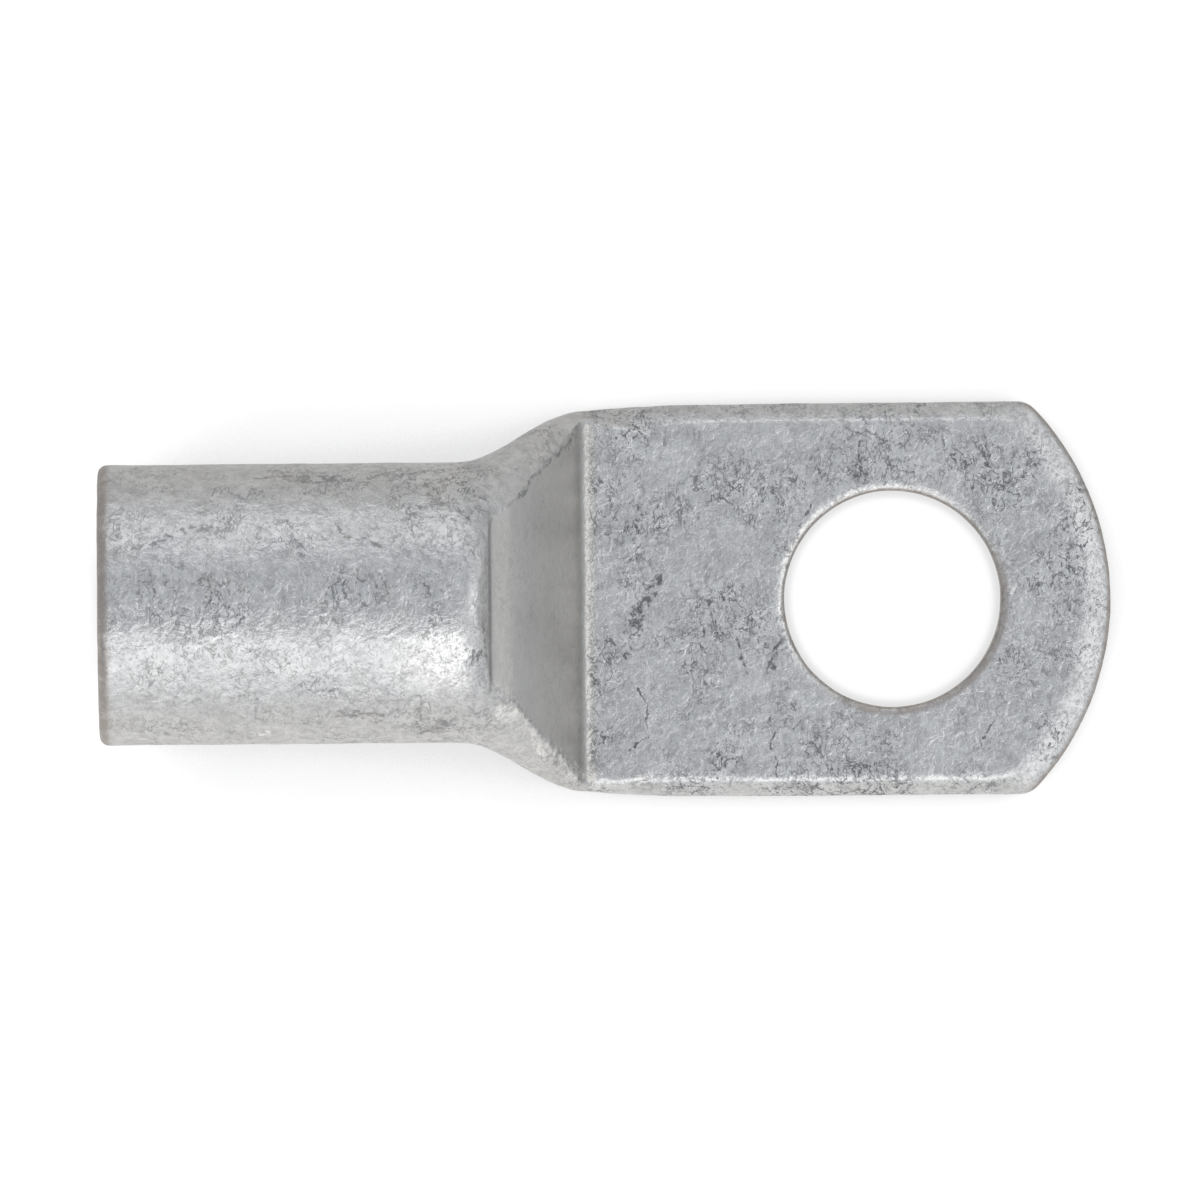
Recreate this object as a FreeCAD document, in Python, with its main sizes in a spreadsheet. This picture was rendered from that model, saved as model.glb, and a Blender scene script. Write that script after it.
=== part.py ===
import FreeCAD
import Part
import math
import os
import Sketcher

# Tube cable lug for one stud: a seamless copper tube whose front end is pressed flat, punched
# and trimmed round. Millimetres. The origin is on the stud hole's axis, in the plane of the palm's
# underside. +X runs from the open barrel to the palm's tip, +Z points away from what it is bolted to.

doc = FreeCAD.newDocument("CableLug")

# Driving dimensions: every size that can be set by itself, one cell each.
DRIVING = {
    "barrel_outside": 11.0,      # diameter of the tube
    "wall": 1.25,                # wall of the tube, and half the thickness of the palm
    "barrel_length": 14.3,       # mouth to where the tube starts to be pressed
    "barrel_lift": 0.05,         # the round barrel hangs this much above the palm's underside
    "press_length": 4.6,         # start of the pressed part to the foot of its ramp
    "palm_length": 20.57,        # foot of the ramp to the tip
    "palm_width": 15.4,          # over the folds
    "root_distance": 2.9,        # foot of the ramp to where palm and fold are fully formed
    "stud_hole": 8.4,            # clearance hole for an 8 mm stud
    "hole_to_tip": 8.53,
    "tip_radius": 10.85,         # the trimmed end, wider than a circle about the hole
    "tip_corner": 0.9,
    "trim_reach": 4.1,           # how far back from the tip the trimming tool cuts the sides
    "shoulder_radius": 0.8,      # where the barrel's top turns down into the press
    "shoulder_length": 0.98,     # start of the turn to the crease that the die's edge left
    "crease_fall": 1.4,          # the crease lies this much below the barrel's top
    "knee_run": 0.97,            # crease to where the ramp gets steeper
    "knee_fall": 1.25,
    "nose_radius": 0.5,          # hollow curve between ramp and palm
    "crease_swell": 0.31,        # growth of the tube's half width at the crease
    "middle_spread": 0.615,      # share of the widening that is done half way down the ramp
    "foot_spread": 0.885,        # the same at its foot
    "crease_side": 2.6,          # width of the rounded side beside the pressed face, at the crease
    "middle_side": 1.88,         # the same half way down the ramp
    "foot_side": 0.49,           # the same at the foot
    "fold_side": 0.9,            # the same along the palm
    "mouth_round": 0.4,
    "mouth_bevel": 0.25,         # inside edge of the mouth, eased for the strands
    "hole_round": 0.2,
    "roll_run": 1.2,             # the trimming tool drew the top edge down over this width
    "roll_fall": 0.4,            # and by this much
    "overcut": 1.5,              # how far cutting shapes reach past what they cut
}

sizes = doc.addObject("Spreadsheet::Sheet", "Sizes")
for row, (word, value) in enumerate(DRIVING.items(), start=1):
    sizes.set(f"A{row}", word)
    sizes.set(f"B{row}", str(value))
    sizes.setAlias(f"B{row}", word)
doc.recompute()

# Places and sizes that follow from the driving ones, as expressions over the sheet.
TIP_X = "Sizes.hole_to_tip"
FOOT_X = "(Sizes.hole_to_tip - Sizes.palm_length)"
SHOULDER_X = f"({FOOT_X} - Sizes.press_length)"
CREASE_X = f"({SHOULDER_X} + Sizes.shoulder_length)"
MIDDLE_X = f"(({CREASE_X} + {FOOT_X}) / 2)"
ROOT_X = f"({FOOT_X} + Sizes.root_distance)"
MOUTH_X = f"({SHOULDER_X} - Sizes.barrel_length)"
END_X = f"({TIP_X} + Sizes.overcut)"
TRIM_X = f"({TIP_X} - Sizes.trim_reach)"

BARREL_RADIUS = "(Sizes.barrel_outside / 2)"
AXIS_Z = f"({BARREL_RADIUS} + Sizes.barrel_lift)"
BARREL_TOP = "(Sizes.barrel_outside + Sizes.barrel_lift)"
PALM_TOP = "(2 * Sizes.wall)"
CREASE_Z = f"({BARREL_TOP} - Sizes.crease_fall)"
KNEE_X = f"({CREASE_X} + Sizes.knee_run)"
KNEE_Z = f"({CREASE_Z} - Sizes.knee_fall)"
MIDDLE_Z = f"({PALM_TOP} + ({KNEE_Z} - {PALM_TOP}) * ({FOOT_X} - {MIDDLE_X}) / ({FOOT_X} - {KNEE_X}))"
CUT_TOP = f"({BARREL_TOP} + Sizes.overcut)"
CUT_SIDE = "(Sizes.palm_width / 2 + Sizes.overcut)"
WIDENING = f"(Sizes.palm_width / 2 - {BARREL_RADIUS})"

CREASE_HALF = f"({BARREL_RADIUS} + Sizes.crease_swell)"
MIDDLE_HALF = f"({BARREL_RADIUS} + {WIDENING} * Sizes.middle_spread)"
FOOT_HALF = f"({BARREL_RADIUS} + {WIDENING} * Sizes.foot_spread)"
PALM_HALF = "(Sizes.palm_width / 2)"
BORE_RADIUS = f"({BARREL_RADIUS} - Sizes.wall)"
HOLE_RADIUS = "(Sizes.stud_hole / 2)"


def number(expression):
    """The present value of an expression over the sheet."""
    return float(sizes.evalExpression(expression))


def new_body(label):
    body = doc.addObject("PartDesign::Body", label)
    body.Label = label
    return body


def origin_plane(body, role):
    return next(item for item in body.Origin.OriginFeatures if item.Role == role)


def new_sketch(body, name, role, offset="0"):
    """A sketch on one of the body's own origin planes, moved along the plane's normal."""
    sketch = body.newObject("Sketcher::SketchObject", name)
    sketch.AttachmentSupport = [(origin_plane(body, role), "")]
    sketch.MapMode = "FlatFace"
    sketch.setExpression("AttachmentOffset.Base.z", offset)
    return sketch


def hold(sketch, name, expression, kind, *where):
    """One named dimension of a sketch, bound to an expression."""
    index = sketch.addConstraint(Sketcher.Constraint(kind, *where, number(expression)))
    sketch.renameConstraint(index, name)
    sketch.setExpression(f"Constraints.{name}", expression)


def hold_point(sketch, name, geometry, end, across, up):
    """Binds one end of a line or arc to a place in the sketch."""
    hold(sketch, f"{name}_across", across, "DistanceX", -1, 1, geometry, end)
    hold(sketch, f"{name}_up", up, "DistanceY", -1, 1, geometry, end)


def point(across, up):
    return FreeCAD.Vector(number(across), number(up), 0)


def half_section(body, name, place, centre, half, rise):
    """The right half of an ellipse across the tube, closed along the plane of symmetry."""
    sketch = new_sketch(body, name, "YZ_Plane", place)
    middle = point("0", centre)
    right = middle + FreeCAD.Vector(number(half), 0, 0)
    left = middle - FreeCAD.Vector(number(half), 0, 0)
    crown = middle + FreeCAD.Vector(0, number(rise), 0)
    keel = middle - FreeCAD.Vector(0, number(rise), 0)
    # The longer axis comes first, and the arc is measured from it.
    wide = number(half) >= number(rise)
    oval = Part.Ellipse(right, crown, middle) if wide else Part.Ellipse(crown, left, middle)
    begin = -math.pi / 2 if wide else -math.pi
    side = sketch.addGeometry(Part.ArcOfEllipse(oval, begin, begin + math.pi))
    spine = sketch.addGeometry(Part.LineSegment(crown, keel))
    sketch.exposeInternalGeometry(side)
    across, upright = (spine + 1, spine + 2) if wide else (spine + 2, spine + 1)
    sketch.addConstraint(Sketcher.Constraint("Coincident", side, 2, spine, 1))
    sketch.addConstraint(Sketcher.Constraint("Coincident", side, 1, spine, 2))
    sketch.addConstraint(Sketcher.Constraint("Horizontal", across))
    for geometry, end in [(side, 3), (spine, 1), (spine, 2)]:
        sketch.addConstraint(Sketcher.Constraint("PointOnObject", geometry, end, -2))
    hold(sketch, "centre", centre, "DistanceY", -1, 1, side, 3)
    hold(sketch, "width", f"2 * {half}", "Distance", across)
    hold(sketch, "height", f"2 * {rise}", "Distance", upright)
    return sketch


def half_circle(body, name, place, radius):
    """The right half of a circle about the barrel's axis."""
    sketch = new_sketch(body, name, "YZ_Plane", place)
    middle = point("0", AXIS_Z)
    crown = middle + FreeCAD.Vector(0, number(radius), 0)
    keel = middle - FreeCAD.Vector(0, number(radius), 0)
    circle = Part.Circle(middle, FreeCAD.Vector(0, 0, 1), number(radius))
    side = sketch.addGeometry(Part.ArcOfCircle(circle, -math.pi / 2, math.pi / 2))
    spine = sketch.addGeometry(Part.LineSegment(crown, keel))
    sketch.addConstraint(Sketcher.Constraint("Coincident", side, 2, spine, 1))
    sketch.addConstraint(Sketcher.Constraint("Coincident", side, 1, spine, 2))
    for geometry, end in [(side, 3), (spine, 1), (spine, 2)]:
        sketch.addConstraint(Sketcher.Constraint("PointOnObject", geometry, end, -2))
    hold(sketch, "centre", AXIS_Z, "DistanceY", -1, 1, side, 3)
    hold(sketch, "radius", radius, "Radius", side)
    return sketch


def pressed_section(body, name, place, top, half, side, inset="0"):
    """An ellipse that the flat dies cut at the height top, where it is side narrower each way."""
    centre = f"({top} / 2)"
    rise = f"({centre} / sqrt(1 - (({half} - {side}) / {half}) ^ 2))"
    return half_section(body, name, place, centre, f"({half} - {inset})", f"({rise} - {inset})")


def palm_section(body, name, place):
    """The right half of the palm's section: flat top and underside, and the fold's elliptical side."""
    sketch = new_sketch(body, name, "YZ_Plane", place)
    flat = f"({PALM_HALF} - Sizes.fold_side)"
    centre = "Sizes.wall"
    rise = f"({centre} / sqrt(1 - ({flat} / {PALM_HALF}) ^ 2))"
    middle = point("0", centre)
    oval = Part.Ellipse(middle + point(PALM_HALF, "0"), middle + point("0", rise), middle)
    turn = math.asin(number(centre) / number(rise))
    side = sketch.addGeometry(Part.ArcOfEllipse(oval, -turn, turn))
    upper = sketch.addGeometry(Part.LineSegment(point(flat, PALM_TOP), point("0", PALM_TOP)))
    spine = sketch.addGeometry(Part.LineSegment(point("0", PALM_TOP), point("0", "0")))
    lower = sketch.addGeometry(Part.LineSegment(point("0", "0"), point(flat, "0")))
    sketch.exposeInternalGeometry(side)
    across = lower + 1
    for join in [(side, 2, upper, 1), (upper, 2, spine, 1), (spine, 2, lower, 1), (lower, 2, side, 1)]:
        sketch.addConstraint(Sketcher.Constraint("Coincident", *join))
    sketch.addConstraint(Sketcher.Constraint("Coincident", spine, 2, -1, 1))
    sketch.addConstraint(Sketcher.Constraint("Vertical", spine))
    for line in (upper, lower, across):
        sketch.addConstraint(Sketcher.Constraint("Horizontal", line))
    sketch.addConstraint(Sketcher.Constraint("PointOnObject", side, 3, -2))
    hold(sketch, "centre", centre, "DistanceY", -1, 1, side, 3)
    hold(sketch, "width", f"2 * {PALM_HALF}", "Distance", across)
    hold(sketch, "thickness", PALM_TOP, "DistanceY", spine, 2, spine, 1)
    hold(sketch, "flat", flat, "DistanceX", upper, 2, upper, 1)
    return sketch


def closed_outline(sketch, corners):
    """Straight edges through the given corners, each corner bound to its place."""
    places = [point(*corner) for corner in corners]
    lines = []
    for start, end in zip(places, places[1:] + places[:1]):
        lines.append(sketch.addGeometry(Part.LineSegment(start, end)))
    for before, after in zip(lines, lines[1:] + lines[:1]):
        sketch.addConstraint(Sketcher.Constraint("Coincident", before, 2, after, 1))
    for index, (line, corner) in enumerate(zip(lines, corners)):
        hold_point(sketch, f"corner{index}", line, 1, *corner)


def pad(body, sketch, name, length):
    feature = body.newObject("PartDesign::Pad", name)
    feature.Profile = sketch
    feature.setExpression("Length", length)
    doc.recompute()


def loft(body, name, sections):
    feature = body.newObject("PartDesign::AdditiveLoft", name)
    feature.Profile = sections[0]
    feature.Sections = sections[1:]
    doc.recompute()


def expect_less(body, before, name):
    """A cut that points away from the solid removes nothing and shows no error."""
    if not body.Shape.Volume < before:
        raise RuntimeError(f"{name} removes nothing")


def cut_through(body, sketch, name):
    """A pocket all the way through, to both sides of its sketch."""
    before = body.Shape.Volume
    feature = body.newObject("PartDesign::Pocket", name)
    feature.Profile = sketch
    feature.Type = "ThroughAll"
    feature.SideType = "Symmetric"
    doc.recompute()
    expect_less(body, before, name)


def carve(body, tool):
    """Takes one body's solid out of another."""
    before = body.Shape.Volume
    feature = body.newObject("PartDesign::Boolean", "Hollow")
    feature.Type = "Cut"
    feature.addObjects([tool])
    doc.recompute()
    expect_less(body, before, "Hollow")


def arcs_at(radius, side, place):
    """A test for the arcs of one radius whose box ends at one place, such as XMax at the mouth."""
    wanted = number(radius)
    level = number(place)

    def test(edge):
        if not isinstance(edge.Curve, Part.Circle):
            return False
        same_radius = math.isclose(edge.Curve.Radius, wanted, abs_tol=1e-4)
        return same_radius and math.isclose(getattr(edge.BoundBox, side), level, abs_tol=1e-4)

    return test


def dress(body, kind, name, size, test):
    """A fillet or a chamfer on the edges that a test picks."""
    base = body.Tip
    names = [f"Edge{index}" for index, edge in enumerate(base.Shape.Edges, start=1) if test(edge)]
    if not names:
        raise RuntimeError(f"{name} finds no edge")
    feature = body.newObject(f"PartDesign::{kind}", name)
    feature.Base = (base, names)
    feature.setExpression("Radius" if kind == "Fillet" else "Size", size)
    doc.recompute()


def press_sketch(body):
    """Side view of what the upper die takes away: shoulder, crease, two-part ramp, nose, flat palm."""
    sketch = new_sketch(body, "PressProfile", "XZ_Plane")
    start = point(SHOULDER_X, BARREL_TOP)
    crease = point(CREASE_X, CREASE_Z)
    knee = point(KNEE_X, KNEE_Z)
    foot = point(FOOT_X, PALM_TOP)
    far = point(END_X, PALM_TOP)
    far_up = point(END_X, CUT_TOP)
    near_up = point(SHOULDER_X, CUT_TOP)
    turn = number("Sizes.shoulder_radius")
    turn_centre = start - FreeCAD.Vector(0, turn, 0)
    sight = crease - turn_centre
    turn_end = math.atan2(sight.y, sight.x) + math.acos(turn / sight.Length)
    wall_start = turn_centre + FreeCAD.Vector(math.cos(turn_end), math.sin(turn_end), 0) * turn
    slope = math.atan2(knee.y - foot.y, foot.x - knee.x)
    nose = number("Sizes.nose_radius")
    reach = nose * math.tan(slope / 2)
    nose_start = foot + FreeCAD.Vector(-math.cos(slope), math.sin(slope), 0) * reach
    nose_end = foot + FreeCAD.Vector(reach, 0, 0)
    nose_centre = nose_end + FreeCAD.Vector(0, nose, 0)
    up = FreeCAD.Vector(0, 0, 1)

    turn_circle = Part.Circle(turn_centre, up, turn)
    shoulder = sketch.addGeometry(Part.ArcOfCircle(turn_circle, turn_end, math.pi / 2))
    drop = sketch.addGeometry(Part.LineSegment(wall_start, crease))
    upper = sketch.addGeometry(Part.LineSegment(crease, knee))
    ramp = sketch.addGeometry(Part.LineSegment(knee, nose_start))
    hollow = sketch.addGeometry(
        Part.ArcOfCircle(Part.Circle(nose_centre, up, nose), 1.5 * math.pi - slope, 1.5 * math.pi))
    palm = sketch.addGeometry(Part.LineSegment(nose_end, far))
    right = sketch.addGeometry(Part.LineSegment(far, far_up))
    over = sketch.addGeometry(Part.LineSegment(far_up, near_up))
    left = sketch.addGeometry(Part.LineSegment(near_up, start))
    corner = sketch.addGeometry(Part.Point(foot), True)

    straight = [palm, right, over, left]
    joins = [(before, 2, after, 1) for before, after in zip(straight, straight[1:])]
    for join in [(drop, 2, upper, 1), (upper, 2, ramp, 1), (left, 2, shoulder, 2)] + joins:
        sketch.addConstraint(Sketcher.Constraint("Coincident", *join))
    sketch.addConstraint(Sketcher.Constraint("Tangent", shoulder, 1, drop, 1))
    sketch.addConstraint(Sketcher.Constraint("Tangent", ramp, 2, hollow, 1))
    sketch.addConstraint(Sketcher.Constraint("Tangent", hollow, 2, palm, 1))
    sketch.addConstraint(Sketcher.Constraint("Vertical", shoulder, 3, shoulder, 2))
    sketch.addConstraint(Sketcher.Constraint("Horizontal", palm))
    sketch.addConstraint(Sketcher.Constraint("Vertical", right))
    sketch.addConstraint(Sketcher.Constraint("Horizontal", over))
    sketch.addConstraint(Sketcher.Constraint("Vertical", left))
    sketch.addConstraint(Sketcher.Constraint("PointOnObject", corner, 1, ramp))
    sketch.addConstraint(Sketcher.Constraint("PointOnObject", corner, 1, palm))
    hold_point(sketch, "shoulder_start", shoulder, 2, SHOULDER_X, BARREL_TOP)
    hold(sketch, "shoulder_radius", "Sizes.shoulder_radius", "Radius", shoulder)
    hold_point(sketch, "crease", drop, 2, CREASE_X, CREASE_Z)
    hold_point(sketch, "knee", upper, 2, KNEE_X, KNEE_Z)
    hold_point(sketch, "foot", corner, 1, FOOT_X, PALM_TOP)
    hold(sketch, "nose_radius", "Sizes.nose_radius", "Radius", hollow)
    hold_point(sketch, "far_up", right, 2, END_X, CUT_TOP)
    return sketch


def floor_sketch(body, level):
    """Side view of everything below the lower die, from the pressed part's start."""
    sketch = new_sketch(body, "FloorProfile", "XZ_Plane")
    deep = "(0 - Sizes.barrel_outside)"
    closed_outline(sketch, [(SHOULDER_X, deep), (END_X, deep), (END_X, level), (SHOULDER_X, level)])
    return sketch


def tip_sketch(body):
    """Plan view of what the trimming tool takes off round the tip."""
    sketch = new_sketch(body, "TipOutline", "XY_Plane")
    up = FreeCAD.Vector(0, 0, 1)
    radius = number("Sizes.tip_radius")
    corner = number("Sizes.tip_corner")
    half = number(PALM_HALF)
    centre = point(TIP_X, "0") - FreeCAD.Vector(radius, 0, 0)
    rise = half - corner
    angle = math.asin(rise / (radius - corner))
    corner_x = centre.x + (radius - corner) * math.cos(angle)
    upper_centre = FreeCAD.Vector(corner_x, rise, 0)
    lower_centre = FreeCAD.Vector(corner_x, -rise, 0)
    upper_start = FreeCAD.Vector(corner_x, half, 0)
    lower_start = FreeCAD.Vector(corner_x, -half, 0)

    tip = sketch.addGeometry(Part.ArcOfCircle(Part.Circle(centre, up, radius), -angle, angle))
    upper = sketch.addGeometry(Part.ArcOfCircle(Part.Circle(upper_centre, up, corner), angle, math.pi / 2))
    lower = sketch.addGeometry(Part.ArcOfCircle(Part.Circle(lower_centre, up, corner), -math.pi / 2, -angle))
    corners = [
        upper_start,
        FreeCAD.Vector(corner_x, number(CUT_SIDE), 0),
        point(END_X, CUT_SIDE),
        FreeCAD.Vector(number(END_X), -number(CUT_SIDE), 0),
        FreeCAD.Vector(corner_x, -number(CUT_SIDE), 0),
        lower_start,
    ]
    lines = [sketch.addGeometry(Part.LineSegment(a, b)) for a, b in zip(corners, corners[1:])]
    joins = [(upper, 2, lines[0], 1), (lower, 1, lines[-1], 2)]
    joins += [(before, 2, after, 1) for before, after in zip(lines, lines[1:])]
    for join in joins:
        sketch.addConstraint(Sketcher.Constraint("Coincident", *join))
    for line, kind in zip(lines, ["Vertical", "Horizontal", "Vertical", "Horizontal", "Vertical"]):
        sketch.addConstraint(Sketcher.Constraint(kind, line))
    sketch.addConstraint(Sketcher.Constraint("Tangent", tip, 2, upper, 1))
    sketch.addConstraint(Sketcher.Constraint("Tangent", tip, 1, lower, 2))
    sketch.addConstraint(Sketcher.Constraint("Vertical", upper, 3, upper, 2))
    sketch.addConstraint(Sketcher.Constraint("Vertical", lower, 3, lower, 1))
    sketch.addConstraint(Sketcher.Constraint("PointOnObject", tip, 3, -1))
    hold(sketch, "tip_radius", "Sizes.tip_radius", "Radius", tip)
    hold(sketch, "upper_corner", "Sizes.tip_corner", "Radius", upper)
    hold(sketch, "lower_corner", "Sizes.tip_corner", "Radius", lower)
    hold(sketch, "tip_place", f"{TIP_X} - Sizes.tip_radius", "DistanceX", -1, 1, tip, 3)
    hold(sketch, "upper_side", PALM_HALF, "DistanceY", -1, 1, upper, 2)
    hold(sketch, "lower_side", PALM_HALF, "DistanceY", lower, 1, -1, 1)
    hold_point(sketch, "far_corner", lines[1], 2, END_X, CUT_SIDE)
    hold(sketch, "far_side", CUT_SIDE, "DistanceY", lines[3], 1, -1, 1)
    return sketch


def hole_sketch(body):
    sketch = new_sketch(body, "StudHoleCircle", "XY_Plane")
    circle = Part.Circle(FreeCAD.Vector(0, 0, 0), FreeCAD.Vector(0, 0, 1), number(HOLE_RADIUS))
    ring = sketch.addGeometry(circle)
    sketch.addConstraint(Sketcher.Constraint("Coincident", ring, 3, -1, 1))
    hold(sketch, "stud_hole", "Sizes.stud_hole", "Diameter", ring)
    return sketch


def roll_sketch(body):
    """Section, on the tip arc's own axis, of what is missing where the trimming tool drew the top down."""
    sketch = new_sketch(body, "TipRollProfile", "XZ_Plane")
    sketch.setExpression("AttachmentOffset.Base.x", f"{TIP_X} - Sizes.tip_radius")
    run, fall = number("Sizes.roll_run"), number("Sizes.roll_fall")
    start = point("Sizes.tip_radius - Sizes.roll_run", PALM_TOP)
    end = point("Sizes.tip_radius", f"{PALM_TOP} - Sizes.roll_fall")
    radius = (run ** 2 + fall ** 2) / (2 * fall)
    centre = start - FreeCAD.Vector(0, radius, 0)
    end_angle = math.atan2(end.y - centre.y, end.x - centre.x)
    circle = Part.Circle(centre, FreeCAD.Vector(0, 0, 1), radius)
    curve = sketch.addGeometry(Part.ArcOfCircle(circle, end_angle, math.pi / 2))
    out = number("Sizes.overcut")
    corners = [
        end,
        end + FreeCAD.Vector(out, 0, 0),
        FreeCAD.Vector(end.x + out, start.y + out, 0),
        FreeCAD.Vector(start.x, start.y + out, 0),
        start,
    ]
    lines = [sketch.addGeometry(Part.LineSegment(a, b)) for a, b in zip(corners, corners[1:])]
    joins = [(curve, 1, lines[0], 1), (lines[-1], 2, curve, 2)]
    joins += [(before, 2, after, 1) for before, after in zip(lines, lines[1:])]
    for join in joins:
        sketch.addConstraint(Sketcher.Constraint("Coincident", *join))
    for line, kind in zip(lines, ["Horizontal", "Vertical", "Horizontal", "Vertical"]):
        sketch.addConstraint(Sketcher.Constraint(kind, line))
    sketch.addConstraint(Sketcher.Constraint("Vertical", curve, 3, curve, 2))
    hold_point(sketch, "start", curve, 2, "Sizes.tip_radius - Sizes.roll_run", PALM_TOP)
    hold_point(sketch, "end", curve, 1, "Sizes.tip_radius", f"{PALM_TOP} - Sizes.roll_fall")
    hold(sketch, "out", "Sizes.overcut", "Distance", lines[0])
    hold(sketch, "over", "Sizes.overcut", "Distance", lines[3])
    return sketch


def roll_tip(body):
    """Turns the rolled edge round the tip, about the axis of the tip's arc."""
    before = body.Shape.Volume
    sketch = roll_sketch(body)
    feature = body.newObject("PartDesign::Groove", "TipRoll")
    feature.Profile = sketch
    feature.ReferenceAxis = (sketch, ["V_Axis"])
    feature.Angle = 180
    feature.Midplane = True
    doc.recompute()
    expect_less(body, before, "TipRoll")


def hollow_press_sketch(body):
    """Side view of what the upper wall fills: the lower ramp one wall further in, down to the floor."""
    sketch = new_sketch(body, "HollowProfile", "XZ_Plane")
    knee = point(KNEE_X, KNEE_Z)
    foot = point(FOOT_X, PALM_TOP)
    wall = number("Sizes.wall")
    slope = math.atan2(knee.y - foot.y, foot.x - knee.x)
    inward = FreeCAD.Vector(-math.sin(slope), -math.cos(slope), 0) * wall
    along = FreeCAD.Vector(math.cos(slope), -math.sin(slope), 0)
    through = knee + inward
    top = through + along * ((number(CUT_TOP) - through.y) / along.y)
    low = through + along * ((wall - through.y) / along.y)

    outside = sketch.addGeometry(Part.LineSegment(knee, foot), True)
    ramp = sketch.addGeometry(Part.LineSegment(top, low))
    floor = sketch.addGeometry(Part.LineSegment(low, point(END_X, "Sizes.wall")))
    right = sketch.addGeometry(Part.LineSegment(point(END_X, "Sizes.wall"), point(END_X, CUT_TOP)))
    over = sketch.addGeometry(Part.LineSegment(point(END_X, CUT_TOP), top))
    for before, after in [(ramp, floor), (floor, right), (right, over), (over, ramp)]:
        sketch.addConstraint(Sketcher.Constraint("Coincident", before, 2, after, 1))
    sketch.addConstraint(Sketcher.Constraint("Horizontal", floor))
    sketch.addConstraint(Sketcher.Constraint("Vertical", right))
    sketch.addConstraint(Sketcher.Constraint("Horizontal", over))
    sketch.addConstraint(Sketcher.Constraint("Parallel", outside, ramp))
    hold_point(sketch, "knee", outside, 1, KNEE_X, KNEE_Z)
    hold_point(sketch, "foot", outside, 2, FOOT_X, PALM_TOP)
    hold(sketch, "wall", "Sizes.wall", "Distance", outside, 1, ramp)
    hold_point(sketch, "floor_end", floor, 2, END_X, "Sizes.wall")
    hold(sketch, "over_height", CUT_TOP, "DistanceY", -1, 1, over, 1)
    return sketch


# The hollow, as the body that it would be if it were solid: bore, then a wedge under the ramp.
hollow = new_body("hollow")

bore_mouth = half_circle(hollow, "BoreMouth", f"({MOUTH_X} - Sizes.overcut)", BORE_RADIUS)
pad(hollow, bore_mouth, "Bore", f"{SHOULDER_X} - {MOUTH_X} + Sizes.overcut")
inset = "Sizes.wall"
loft(hollow, "InnerSpread", [
    half_circle(hollow, "InnerShoulder", SHOULDER_X, BORE_RADIUS),
    pressed_section(hollow, "InnerCrease", CREASE_X, CREASE_Z, CREASE_HALF, "Sizes.crease_side", inset),
    pressed_section(hollow, "InnerMiddle", MIDDLE_X, MIDDLE_Z, MIDDLE_HALF, "Sizes.middle_side", inset),
    pressed_section(hollow, "InnerFoot", FOOT_X, PALM_TOP, FOOT_HALF, "Sizes.foot_side", inset),
])
cut_through(hollow, hollow_press_sketch(hollow), "UpperWall")
cut_through(hollow, floor_sketch(hollow, "Sizes.wall"), "LowerWall")

# The half of the terminal on the +Y side, as the press, the punch and the trimming tool leave it.
terminal = new_body("terminal_body")

tube_end = half_circle(terminal, "TubeMouth", MOUTH_X, BARREL_RADIUS)
pad(terminal, tube_end, "Barrel", f"{SHOULDER_X} - {MOUTH_X}")
loft(terminal, "Spread", [
    half_circle(terminal, "SectionShoulder", SHOULDER_X, BARREL_RADIUS),
    pressed_section(terminal, "SectionCrease", CREASE_X, CREASE_Z, CREASE_HALF, "Sizes.crease_side"),
    pressed_section(terminal, "SectionMiddle", MIDDLE_X, MIDDLE_Z, MIDDLE_HALF, "Sizes.middle_side"),
    pressed_section(terminal, "SectionFoot", FOOT_X, PALM_TOP, FOOT_HALF, "Sizes.foot_side"),
    pressed_section(terminal, "SectionRoot", ROOT_X, PALM_TOP, PALM_HALF, "Sizes.fold_side"),
])
cut_through(terminal, press_sketch(terminal), "UpperDie")
cut_through(terminal, floor_sketch(terminal, "0"), "LowerDie")
pad(terminal, palm_section(terminal, "PalmSection", ROOT_X), "Palm", f"{TRIM_X} - {ROOT_X}")
pad(terminal, palm_section(terminal, "PalmEndSection", TRIM_X), "PalmEnd", f"{END_X} - {TRIM_X}")
cut_through(terminal, tip_sketch(terminal), "Trim")
cut_through(terminal, hole_sketch(terminal), "StudHole")
carve(terminal, hollow)
roll_tip(terminal)
dress(terminal, "Fillet", "MouthRound", "Sizes.mouth_round", arcs_at(BARREL_RADIUS, "XMax", MOUTH_X))
dress(terminal, "Chamfer", "MouthBevel", "Sizes.mouth_bevel", arcs_at(BORE_RADIUS, "XMax", MOUTH_X))
dress(terminal, "Fillet", "HoleRound", "Sizes.hole_round", arcs_at(HOLE_RADIUS, "ZMin", PALM_TOP))

whole = terminal.newObject("PartDesign::Mirrored", "OtherHalf")
whole.TransformMode = "Whole shape"
whole.MirrorPlane = (origin_plane(terminal, "XZ_Plane"), [""])
terminal.Tip = whole
doc.recompute()

for item in doc.Objects:
    if "Invalid" in item.State or "Error" in item.State:
        raise RuntimeError(f"{item.Name} has failed: {item.State}")
shape = terminal.Shape
if shape.isNull() or not shape.isValid() or len(shape.Solids) != 1:
    raise RuntimeError(f"{terminal.Label} is not one valid solid")

os.makedirs("parts", exist_ok=True)
shape.exportStep(f"parts/{terminal.Label}.step")
print(f"{terminal.Label}: {shape.Volume:.1f} mm3 in {len(shape.Faces)} faces")
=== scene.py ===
import math

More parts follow.
